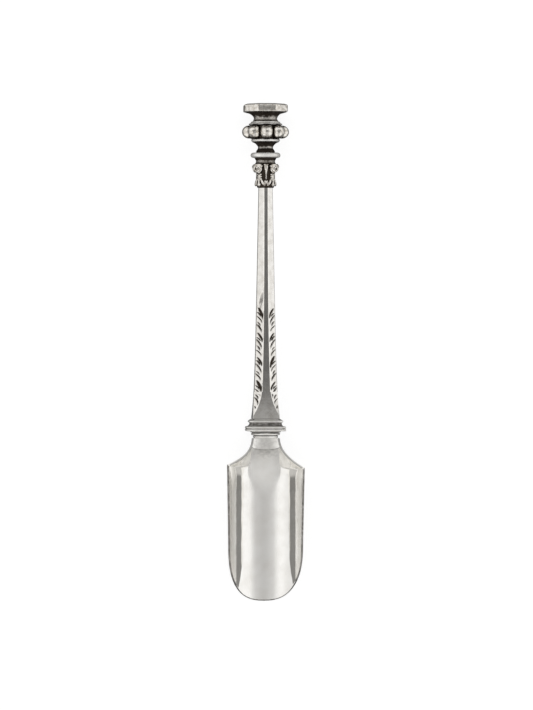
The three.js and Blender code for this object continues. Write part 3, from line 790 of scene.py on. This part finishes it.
def carve(piece):
    """Presses the finely divided chamfers in along the gouges, and stains the cuts."""
    mesh = bmesh.from_edit_mesh(piece.data)
    stain_and_painted_shade = mesh.verts.layers.float.new("stain_and_painted_shade")
    chamfers = [cuts_on(corner) for corner in range(4)]
    low = STEM_FOOT + STEM_LENGTH * (1 - CARVED_TO)
    high = STEM_FOOT + STEM_LENGTH * (1 - CARVED_FROM)
    for vertex in mesh.verts:
        along = vertex.co.y / MM
        if not low < along < high:
            continue
        x, z = vertex.co.x / MM, vertex.co.z / MM - AXIS
        share = 1 - (along - STEM_FOOT) / STEM_LENGTH
        chamfer = (stem_half(share) + flat_half(share)) * math.sqrt(0.5)
        inward = Vector((-math.copysign(1, x), 0, -math.copysign(1, z))) * math.sqrt(0.5)
        if abs((abs(x) + abs(z)) * math.sqrt(0.5) - chamfer) > 0.05:
            continue
        reach = (stem_half(share) - flat_half(share)) * math.sqrt(0.5)
        across = (abs(x) - abs(z)) * math.sqrt(0.5)
        border = ease((reach - abs(across)) / 0.2)
        corner = 2 * (x > 0) + (z > 0)
        depth = gouge_depth((across / reach + 1) / 2, along, chamfers[corner]) * border
        vertex.co += inward * depth * MM
        vertex[stain_and_painted_shade] = min(1, depth / 0.5)
    bmesh.update_edit_mesh(piece.data)


bpy.ops.mesh.select_all(action="DESELECT")
mesh = bmesh.from_edit_mesh(bar.data)
mesh.normal_update()
for face in mesh.faces:
    middle = face.calc_center_median()
    share = 1 - (middle.y / MM - STEM_FOOT) / STEM_LENGTH
    slanted = abs(abs(face.normal.x) - abs(face.normal.z)) < 0.08
    if slanted and CARVED_FROM < share < CARVED_TO:
        face.select_set(True)
bmesh.update_edit_mesh(bar.data)
bpy.ops.mesh.subdivide(number_cuts=35)
bpy.ops.mesh.select_mode(type="VERT")
carve(bar)
finish_piece("carved_stem", "stem", stem_finish, 14)


# %% [markdown]
# ## The leaf capital
#
# The capital is a small casting: a bell with scrolls at its corners and, on each face, a dart
# between the scrolls, two curls, an open bud and upright leaves. Thin forms are rolls along a
# curve, thick ones are balls that are scaled and turned. One face is modelled and copied round.
# Voxel Remesh then fuses the heap into one skin and Smooth softens it, as a mould softens a casting.

# %% Bell and forms of one face
CAP_FOOT, CAP_HEIGHT = span("leaf_capital")
BELL = [(3.45, 0), (3.85, 1.5), (3.65, 3.6), (3.5, 5.8), (3.7, 8.0), (3.7, CAP_HEIGHT)]
SCROLL_LIFT = 1.8
SCROLL_ACROSS, SCROLL_HEIGHT = 3.55, 7.95
face_forms = []


def bell_radius(height):
    """Radius of the bell at a height above its foot, in mm."""
    for (radius, low), (next_radius, high) in zip(BELL, BELL[1:]):
        if height <= high:
            return mix(radius, next_radius, (height - low) / (high - low))
    return BELL[-1][0]


def on_face(across, height, lift):
    """A place above the front of the bell, seen from the front at across and height in mm."""
    radius = bell_radius(height) + lift
    return spot(across, CAP_FOOT + height, math.sqrt(max(0.5, radius**2 - across**2)))


def add_roll(line, lift=0.0, flatten=1.0):
    """A roll along points (across, height, thickness); flatten presses it onto the bell."""
    begin()
    bpy.ops.curve.primitive_nurbs_path_add()
    curve = bpy.context.object.data
    curve.splines.clear()
    spline = curve.splines.new("NURBS")
    spline.points.add(len(line) - 1)
    for point, (across, height, thickness) in zip(spline.points, line):
        point.co = (*on_face(across, height, lift), 1)
        point.radius = thickness
    spline.order_u = 3
    spline.use_endpoint_u = True
    curve.bevel_depth = MM
    curve.bevel_resolution = 3
    curve.use_fill_caps = True
    bpy.ops.object.convert(target="MESH")
    bpy.ops.transform.resize(value=(1, 1, flatten), center_override=on_face(0, 5, lift))
    bpy.ops.object.transform_apply(location=True, rotation=True, scale=True)
    face_forms.append(bpy.context.object)


def add_ball(across, height, lift, sizes, turn=0.0):
    """A ball of the given sizes on the bell, turned about the axis of the scoop."""
    begin()
    bpy.ops.mesh.primitive_uv_sphere_add(
        segments=32, ring_count=20, radius=0.5 * MM, location=on_face(across, height, lift)
    )
    bpy.ops.transform.resize(value=sizes)
    bpy.ops.transform.rotate(value=turn, orient_axis="Y", center_override=spot(0, CAP_FOOT + height, 0))
    face_forms.append(bpy.context.object)


def scroll_line(side):
    """The spiral of a scroll, from beside the dart over the top and round to its eye."""
    line = []
    for step in range(17):
        share = step / 16
        angle = math.radians(160 - 500 * share)
        reach = mix(1.95, 0.55, share**0.8)
        across = SCROLL_ACROSS + reach * math.cos(angle)
        line.append((side * across, SCROLL_HEIGHT + reach * math.sin(angle), mix(0.5, 0.3, share)))
    return line


DART = [(0, 9.8, 1.2), (0, 8.4, 0.95), (0, 7.2, 0.5), (0, 6.0, 0.3), (0, 4.6, 0.26), (0, 3.4, 0.2)]
CURL = [(1.9, 5.7, 0.36), (2.75, 5.1, 0.38), (2.5, 4.3, 0.36), (1.75, 4.7, 0.3)]
BUD_LEAF = [(2.15, 3.8, 0.34), (1.85, 2.7, 0.5), (1.2, 1.4, 0.5), (0.4, 0.9, 0.38)]
SIDE_LEAF = [(3.2, 4.6, 0.34), (3.15, 3.2, 0.42), (2.85, 1.7, 0.42), (2.4, 0.9, 0.32)]
CORNER = math.radians(45)
add_roll(DART, 0.3, 0.6)
for side in (-1, 1):
    add_roll(scroll_line(side), SCROLL_LIFT)
    for line in (CURL, BUD_LEAF, SIDE_LEAF):
        add_roll([(side * across, height, thickness) for across, height, thickness in line], 0.45)
    add_ball(side * 0.42, 2.15, 0.1, (1.0, 1.9, 1.0))
add_ball(0, SCROLL_HEIGHT, 0.7, (3.4, 4.0, 1.9), CORNER)
add_ball(0, 4.4, -0.1, (2.0, 4.6, 1.4), CORNER)
add_ball(0, 2.6, 0.35, (0.8, 4.4, 1.2), CORNER)
print("forms on one face:", len(face_forms))


# %% [markdown]
# What lies deep between the forms is found by comparing the casting with a softened copy: where
# the copy's skin is higher, there is a hollow. Hollows and ground take the dark stain.

# %% Copy the face round and fuse the casting
def copy_round(forms, turns):
    """Copies a heap of forms round the axis, each copy with its own mesh."""
    for turn in turns:
        pick(forms)
        bpy.ops.object.duplicate()
        bpy.ops.transform.rotate(value=turn, orient_axis="Y", center_override=spot(0, 0, 0))
        yield list(bpy.context.selected_objects)


def fuse(forms, voxel, smooth):
    """Joins a heap of forms into the first one, skins it with voxels of a size in mm and smooths
    the skin a number of times."""
    pick(forms)
    bpy.ops.object.join()
    casting = bpy.context.object
    bpy.ops.object.transform_apply(location=True, rotation=True, scale=True)
    modify(casting, "skin", "REMESH", mode="VOXEL", voxel_size=voxel * MM)
    modify(casting, "soft", "SMOOTH", factor=0.5, iterations=smooth)


def trim_ends(foot, height):
    """Cuts the active casting flat at its foot and its top."""
    bpy.ops.object.mode_set(mode="EDIT")
    for place, normal in [(foot, (0, -1, 0)), (foot + height, (0, 1, 0))]:
        bpy.ops.mesh.select_all(action="SELECT")
        bpy.ops.mesh.bisect(plane_co=spot(0, place, 0), plane_no=normal, clear_outer=True, use_fill=True)


def stain_hollows(casting, steps, full):
    """Darkens the ground between the forms, and what lies below the skin of a softened copy;
    full depth in mm is wholly dark."""
    pick([casting])
    bpy.ops.object.duplicate()
    copy = bpy.context.object
    modify(copy, "soft", "SMOOTH", factor=0.5, iterations=steps)
    stain_and_painted_shade = casting.data.attributes.new("stain_and_painted_shade", "FLOAT", "POINT")
    for vertex, softened, value in zip(casting.data.vertices, copy.data.vertices, stain_and_painted_shade.data):
        depth = (softened.co - vertex.co).dot(vertex.normal) / MM
        x, y, z = vertex.co / MM
        lift = math.hypot(x, z - AXIS) - bell_radius(y - CAP_FOOT)
        value.value = min(1, max(0, depth / full, 1 - (lift - 0.12) / 0.35))
    bpy.ops.object.delete()


heap = list(face_forms)
for copies in copy_round(face_forms, [math.radians(90 * turn) for turn in (1, 2, 3)]):
    heap += copies
spin_outline(sweep_through(BELL), CAP_FOOT)
bpy.ops.object.mode_set(mode="OBJECT")
heap.insert(0, bpy.context.object)
fuse(heap, 0.09, 1)
trim_ends(CAP_FOOT, CAP_HEIGHT)
casting = finish_piece("capital_of_leaves", "leaf_capital", cast_finish, 60)
stain_hollows(casting, 30, 0.06)


# %% [markdown]
# ## The lobed knop
#
# Eight swelling bosses stand in a ring round a core. A boss is round in profile but nearly square
# from the front: a cube is subdivided, drawn out to a ball and then squared a little on its front.
# It is copied round, and the ring is fused like the capital, which leaves narrow dark valleys.

# %% Bosses round a core
KNOP_FOOT, KNOP_HEIGHT = span("lobed_knop")
LOBES = 8
BOSS_WIDTH, BOSS_HEIGHT = 5.3, 5.5
BOSS_MIDDLE = 6.9
BOSS_REACH = (knop_high[2] - knop_low[2]) / 2 / MM
BOSS_POWER = 2.7
GROOVE_HALF, GROOVE_FADE = 0.15, 0.5
END_START, END_FADE = 1.9, 0.9
FLANK_RADIUS, FLANK_FADE = 8.1, 0.7


def groove_darkness(x, y, z):
    """Dark in the valleys between the bosses, at their ends and low on their flanks."""
    radius = math.hypot(x, z)
    boss_share = math.atan2(x, z) * LOBES / (2 * math.pi) % 1
    off_groove = abs(boss_share - 0.5) * 2 * math.pi * radius / LOBES
    off_middle = abs(y - KNOP_FOOT - KNOP_HEIGHT / 2)
    valley = 1 - (off_groove - GROOVE_HALF) / GROOVE_FADE
    end = (off_middle - END_START) / END_FADE
    flank = (FLANK_RADIUS - radius) / FLANK_FADE
    return max(valley, end, flank)


begin()
bpy.ops.mesh.primitive_cube_add(size=2, location=(0, 0, 0))
boss = bpy.context.object
bpy.ops.object.mode_set(mode="EDIT")
bpy.ops.mesh.subdivide(number_cuts=15)
bpy.ops.object.mode_set(mode="OBJECT")
for vertex in boss.data.vertices:
    ball = vertex.co.normalized()
    spread = (abs(ball.x) ** BOSS_POWER + abs(ball.y) ** BOSS_POWER) ** (1 / BOSS_POWER)
    square = math.hypot(ball.x, ball.y) / max(spread, 0.001)
    vertex.co = Vector((
        ball.x * square * BOSS_WIDTH / 2,
        ball.y * square * BOSS_HEIGHT / 2,
        ball.z * (BOSS_REACH - BOSS_MIDDLE),
    )) * MM
bpy.ops.transform.translate(value=spot(0, KNOP_FOOT + KNOP_HEIGHT / 2, BOSS_MIDDLE))
bosses = [boss]
for copies in copy_round([boss], [2 * math.pi * turn / LOBES for turn in range(1, LOBES)]):
    bosses += copies
print("boss in mm:", [round(size / MM, 2) for size in boss.dimensions])
spin_outline([(6.0, 0), (6.2, KNOP_HEIGHT / 2), (6.0, KNOP_HEIGHT)], KNOP_FOOT)
bpy.ops.object.mode_set(mode="OBJECT")
fuse([bpy.context.object, *bosses], 0.13, 2)
trim_ends(KNOP_FOOT, KNOP_HEIGHT)
casting = finish_piece("knop_of_lobes", "lobed_knop", cast_finish, 60)
store_stain_and_painted_shade(casting, groove_darkness)


# %% [markdown]
# ## The cap
#
# The cap is an eight-sided slab: a cylinder with eight sides, whose top is inset and lifted a
# little, because it is slightly domed, and whose edges a bevel wears down.

# %% Slab of the cap
CAP_SIDES = 8
CAP_ACROSS = 18.3
CAP_WEAR = 0.45
DOME = 0.45
DOME_INSET = 1.6
FACET_DROP = 0.9
foot, height = span("octagonal_cap")
corner_reach = CAP_ACROSS / 2 / math.cos(math.pi / CAP_SIDES)
facet = height - FACET_DROP
begin()
bpy.ops.mesh.primitive_cylinder_add(
    vertices=CAP_SIDES, radius=corner_reach * MM, depth=facet * MM,
    location=spot(0, foot + facet / 2, 0), rotation=(math.pi / 2, 0, 0),
)
bpy.ops.transform.rotate(value=math.pi / CAP_SIDES, orient_axis="Y", center_override=spot(0, 0, 0))
slab = bpy.context.object
bpy.ops.object.transform_apply(location=True, rotation=True, scale=True)
bpy.ops.object.mode_set(mode="EDIT")
bpy.ops.mesh.select_all(action="DESELECT")
mesh = bmesh.from_edit_mesh(slab.data)
for face in mesh.faces:
    face.select_set(face.normal.y > 0.9)
bmesh.update_edit_mesh(slab.data)
bpy.ops.mesh.inset(thickness=DOME_INSET * MM)
bpy.ops.transform.translate(value=(0, DOME * MM, 0))
bpy.ops.object.mode_set(mode="OBJECT")
modify(
    slab, "worn_edge", "BEVEL",
    width=CAP_WEAR * MM, segments=4, limit_method="ANGLE", angle_limit=math.radians(25),
)
slab = finish_piece("cap_slab", "octagonal_cap", turned_finish, 30)
# Painted shade: the slab grows darker towards its left and right sides.
store_stain_and_painted_shade(slab, lambda x, y, z: mix(0.12, 0.42, max(0, (abs(x) - 4.5) / 5)))

# %% [markdown]
# The spool under the slab starts round and flares into eight sides. A circle is extruded ring by
# ring, and each ring is drawn a little further out towards the eight sides.

# %% Spool of the cap
foot, height = span("cap_spool")
rise = sweep_through([(5.3, 0), (4.85, height * 0.36), (6.1, height * 0.8), (8.3, height)], 8)
begin()
bpy.ops.mesh.primitive_circle_add(
    vertices=64, radius=rise[0][0] * MM, fill_type="NGON",
    location=spot(0, foot, 0), rotation=(math.pi / 2, 0, 0),
)
bpy.ops.object.transform_apply(location=True, rotation=True, scale=True)
flare = bpy.context.object
bpy.ops.object.mode_set(mode="EDIT")
for (radius, place), (next_radius, next_place) in zip(rise, rise[1:]):
    bpy.ops.mesh.extrude_region_move(TRANSFORM_OT_translate={"value": (0, (next_place - place) * MM, 0)})
    mesh = bmesh.from_edit_mesh(flare.data)
    squareness = ease(next_place / height)
    for vertex in mesh.verts:
        if not vertex.select:
            continue
        turn = turn_of(vertex.co)
        off_flat = (turn + math.pi / CAP_SIDES) % (2 * math.pi / CAP_SIDES) - math.pi / CAP_SIDES
        reach = mix(next_radius * 1.02, next_radius / math.cos(off_flat), squareness)
        vertex.co = spot(reach * math.sin(turn), foot + next_place, reach * math.cos(turn))
    bmesh.update_edit_mesh(flare.data)
bpy.ops.mesh.select_all(action="SELECT")
bpy.ops.mesh.normals_make_consistent(inside=False)
spool = finish_piece("spool_under_cap", "cap_spool", turned_finish, 40)
# Painted shade: dark where the spool flares out, lighter at its waist.
store_stain_and_painted_shade(spool, lambda x, y, z: mix(0.48, 0.85, (math.hypot(x, z) - 5) / 0.8))

# %% [markdown]
# A rod runs through the bores and holds the members of the finial together. Nothing of it shows,
# so it keeps its measured shape and only takes a finish.

# %% Rod
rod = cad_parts["finial_rod"]
rod.material_slots[0].material = collar_finish
print("the rod keeps", len(rod.data.polygons), "faces")


# %% [markdown]
# ## Studio
#
# The scoop lies on a white table. Two wide white screens stand left and right of it and draw
# together far below its tip; the dark room shows between them overhead. Polished silver is a
# mirror, so what gives it its form is this sky: the flats of the stem show the dark opening, the
# chamfers and the sides of the trough show the screens, and the trough shows the opening again as
# two streaks.

# %% Sky
OPENING_MIDDLE = 0.07
OPENING_EDGE = (0.37, 0.42)
world = bpy.context.scene.world or bpy.data.worlds.new("studio")
bpy.context.scene.world = world
world.use_nodes = True
tree = world.node_tree
tree.nodes.clear()
direction = tree.nodes.new("ShaderNodeTexCoord")
parts = tree.nodes.new("ShaderNodeSeparateXYZ")
tree.links.new(direction.outputs["Generated"], parts.inputs[0])
from_middle = link_math(tree, "SUBTRACT", parts.outputs[0], OPENING_MIDDLE)
across = link_math(tree, "ABSOLUTE", from_middle, 0)
along = parts.outputs[1]

# The opening is wider and darker towards the finial, narrower far below the tip, and lighter
# where the stem flares.
widening = link_range(tree, along, -0.015, 0.035, 1, 0.66)
narrowing = link_range(tree, along, -0.8, -0.3, 1.7, 1)
width = link_math(tree, "MULTIPLY", widening, narrowing)
beside = link_range(tree, link_math(tree, "MULTIPLY", across, width), *OPENING_EDGE, 1, 0)
ahead = link_range(tree, along, 0.25, 0.5, 1, 0)
upward = link_math(tree, "GREATER_THAN", parts.outputs[2], 0)
opening = link_math(tree, "MULTIPLY", link_math(tree, "MULTIPLY", beside, ahead), upward)
over_tip = link_range(tree, along, -0.25, -0.1, 0.42, 0.74)
over_stem = link_range(tree, along, -0.015, 0.034, 0, 0.17)
over_flare = link_range(tree, along, 0.06, 0.14, 0, -0.26)
depth = link_math(tree, "ADD", link_math(tree, "ADD", over_tip, over_stem), over_flare)
overhead = link_math(tree, "MULTIPLY", opening, depth)

# Beyond the finial the room is dark, below the tip a grey gap is left between the screens, and
# the left screen is a little weaker than the right one.
beyond_finial = link_range(tree, along, 0.6, 0.9, 0, 0.8)
between_screens = link_range(tree, across, 0.22, 0.36, 1, 0)
below_tip = link_math(tree, "MULTIPLY", link_range(tree, along, -0.95, -0.65, 0.5, 0), between_screens)
left_screen = link_range(tree, parts.outputs[0], -1, -0.8, 0.16, 0)
ends = link_math(tree, "ADD", beyond_finial, below_tip)
around = link_math(tree, "ADD", ends, left_screen)
dark = link_math(tree, "MAXIMUM", overhead, around)
sky = tree.nodes.new("ShaderNodeBackground")
sky.inputs["Color"].default_value = (1, 0.995, 0.985, 1)
tree.links.new(link_math(tree, "SUBTRACT", 1, dark), sky.inputs["Strength"])
out = tree.nodes.new("ShaderNodeOutputWorld")
tree.links.new(sky.outputs[0], out.inputs["Surface"])
print("sky nodes:", len(tree.nodes))

# %% [markdown]
# The table is a grey cloth that keeps the scoop's shadow. For the eye of the camera it gives off
# light of its own, which makes the picture's ground white. In reflections only its far parts do,
# so that the edges of the scoop, which mirror the table close by, draw themselves as dark lines.

# %% Table
begin()
bpy.ops.mesh.primitive_plane_add(size=6, location=(0, 0, 0))
table = bpy.context.object
table.name = "table"
table_finish = bpy.data.materials.new("white_table")
table_finish.use_nodes = True
tree = table_finish.node_tree
tree.nodes.clear()
cloth = tree.nodes.new("ShaderNodeBsdfDiffuse")
cloth.inputs["Color"].default_value = (0.3, 0.3, 0.3, 1)
light_path = tree.nodes.new("ShaderNodeLightPath")
seen = link_math(tree, "MULTIPLY", light_path.outputs["Is Camera Ray"], 0.84)
place = tree.nodes.new("ShaderNodeSeparateXYZ")
tree.links.new(tree.nodes.new("ShaderNodeTexCoord").outputs["Object"], place.inputs[0])
aside = link_math(tree, "ABSOLUTE", place.outputs["X"], 0)
open_table = link_range(tree, aside, 0.03, 0.1, 0, 0.7)
shown = link_math(tree, "MULTIPLY", light_path.outputs["Is Glossy Ray"], open_table)
lift = tree.nodes.new("ShaderNodeEmission")
tree.links.new(link_math(tree, "ADD", seen, shown), lift.inputs["Strength"])
both = tree.nodes.new("ShaderNodeAddShader")
tree.links.new(cloth.outputs[0], both.inputs[0])
tree.links.new(lift.outputs[0], both.inputs[1])
out = tree.nodes.new("ShaderNodeOutputMaterial")
tree.links.new(both.outputs[0], out.inputs["Surface"])
table.data.materials.append(table_finish)
print("table:", table.name, "with", table_finish.name)

# %% [markdown]
# The camera stands straight above and a little to the left, so that the left sides show. Its
# lens follows from the scale of the picture: 710 pixels of 0.4209 millimetres at its distance.

# %% Camera
DISTANCE = 2000
PICTURE_HEIGHT = 710
PIXEL = 0.4209
SHIFT_ACROSS, SHIFT_ALONG = 1 * PIXEL, -2.6 * PIXEL
SENSOR = 36
ASIDE = math.radians(4)
lens = bpy.data.cameras.new("photo_camera")
lens.sensor_width = SENSOR
lens.lens = SENSOR * DISTANCE / (PICTURE_HEIGHT * PIXEL)
camera = bpy.data.objects.new("photo_camera", lens)
bpy.context.scene.collection.objects.link(camera)
camera.location = spot(SHIFT_ACROSS - DISTANCE * math.sin(ASIDE), SHIFT_ALONG, DISTANCE * math.cos(ASIDE))
camera.rotation_euler = (0, -ASIDE, 0)
bpy.context.scene.camera = camera
bpy.context.scene.view_settings.view_transform = "Standard"
print("lens in mm:", round(lens.lens, 1))
